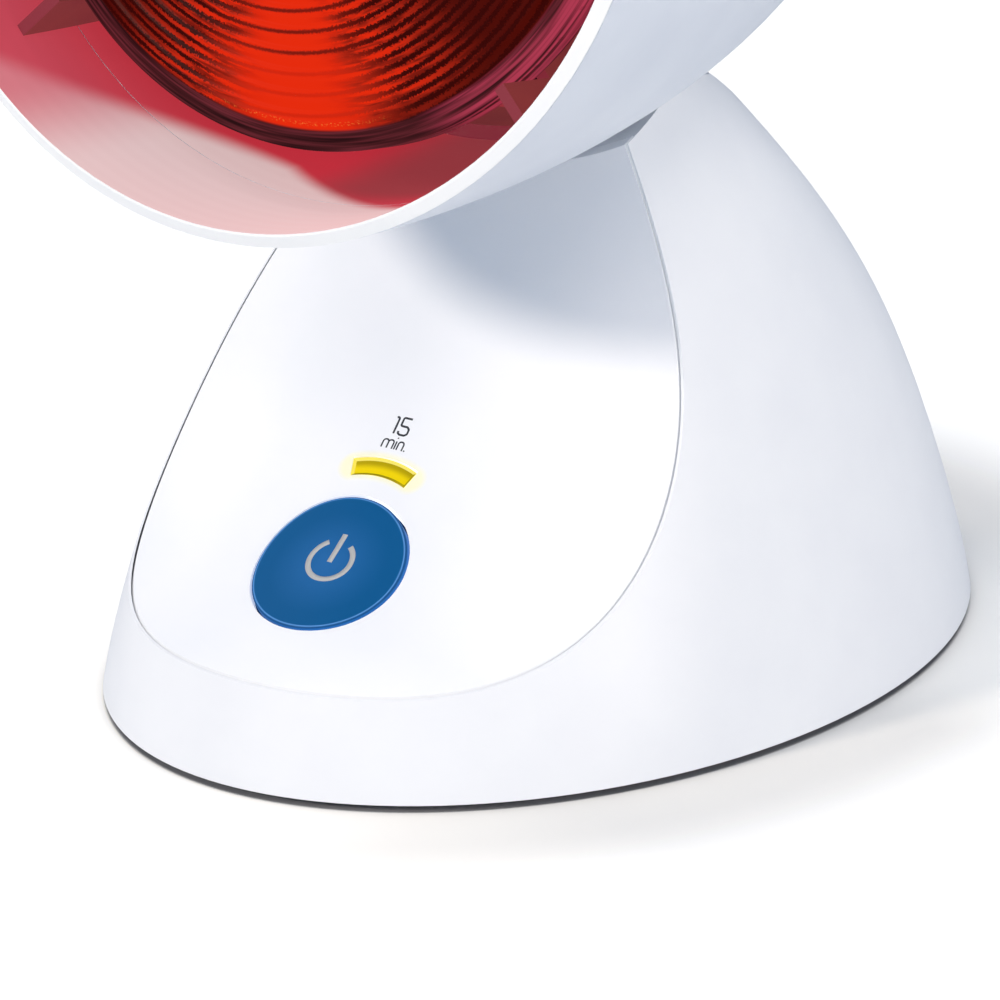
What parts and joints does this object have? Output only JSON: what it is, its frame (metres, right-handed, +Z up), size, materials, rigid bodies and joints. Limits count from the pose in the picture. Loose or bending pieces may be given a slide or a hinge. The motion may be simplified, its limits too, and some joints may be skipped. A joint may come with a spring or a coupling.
{
  "type": "infrared heat therapy lamp",
  "caption": "Table-top infrared heat lamp: a tilting white shade with a red reflector lamp on a mound-shaped base with a push button and a timer light.",
  "frame": {"origin": "centre of the lamp's footprint, on the surface that its four rubber feet stand on", "axes": "+X to the right as the user faces the lamp, -Y towards the user, +Z up; the base and the head are symmetric about the YZ plane"},
  "size_m": [0.1484, 0.1812, 0.2394],
  "materials": {
    "white_abs": "moulded, glossy",
    "panel_white": "moulded, high gloss",
    "shade_white": "heat-resistant moulding, glossy",
    "button_blue": "moulded, glossy",
    "indicator_yellow": "translucent light guide",
    "ruby_glass": "pressed, ringed, ruby red",
    "bowl_glass": "pressed, mirrored inside",
    "clear_red_plastic": "moulded heat-resistant blades",
    "black_rubber": "moulded, matt",
    "grey_plate": "moulded, fine texture",
    "zinc_cast": "cast and tumbled",
    "steel_plated": "zinc plated",
    "spring_steel": "rolled strip",
    "nickel_cap": "rolled thread, nickel plated",
    "steatite": "glazed ceramic",
    "board_green": "solder-masked laminate",
    "black_plastic": "moulded",
    "blue_box": "potted case",
    "winding_tape": "taped winding",
    "core_steel": "laminated",
    "terminal_green": "moulded",
    "fuse_glass": "glass tube with caps",
    "light_dome": "cast epoxy"
  },
  "bodies": {
    "base": {"base_shell": "white_abs", "front_panel": "panel_white", "indicator_window": "indicator_yellow", "switch_body": "black_plastic", "indicator_light": "light_dome", "switch_board": "board_green", "switch_board_screws": "steel_plated", "bottom_plate": "grey_plate", "bottom_screws": "steel_plated", "rubber_feet": "black_rubber", "power_board": "board_green", "power_board_screws": "steel_plated", "relay": "blue_box", "transformer_core": "core_steel", "transformer_winding": "winding_tape", "filter_capacitor": "winding_tape", "terminal_block": "terminal_green", "fuse": "fuse_glass", "cord_grommet": "black_rubber", "hinge_post": "zinc_cast", "post_screws": "steel_plated"},
    "button": {"power_button": "button_blue", "switch_plunger": "black_plastic"},
    "head": {"shade_shell": "shade_white", "front_ring": "shade_white", "lamp_bowl": "bowl_glass", "lamp_lens": "ruby_glass", "lamp_cap": "nickel_cap", "lamp_contact": "nickel_cap", "lamp_cradle": "clear_red_plastic", "lampholder": "steatite", "holder_strap": "spring_steel", "holder_screws": "steel_plated", "strap_screws": "steel_plated", "rear_cover": "shade_white", "cover_screws": "steel_plated", "hinge_bracket": "zinc_cast", "bracket_screws": "steel_plated", "hinge_pin": "steel_plated", "hinge_nut": "steel_plated", "friction_washers": "spring_steel"}
  },
  "joints": [
    {"name": "head_tilt", "type": "hinge", "parent": "base", "child": "head", "pos_m": [0, 0.00681, 0.11138], "axis": [-1, 0, 0], "range_deg": [-10, 30]},
    {"name": "power_button_press", "type": "slide", "parent": "base", "child": "button", "axis": [0, 0.5733, -0.8193], "range_m": [0, 0.001], "stiffness_N_per_m": 1500}
  ]
}
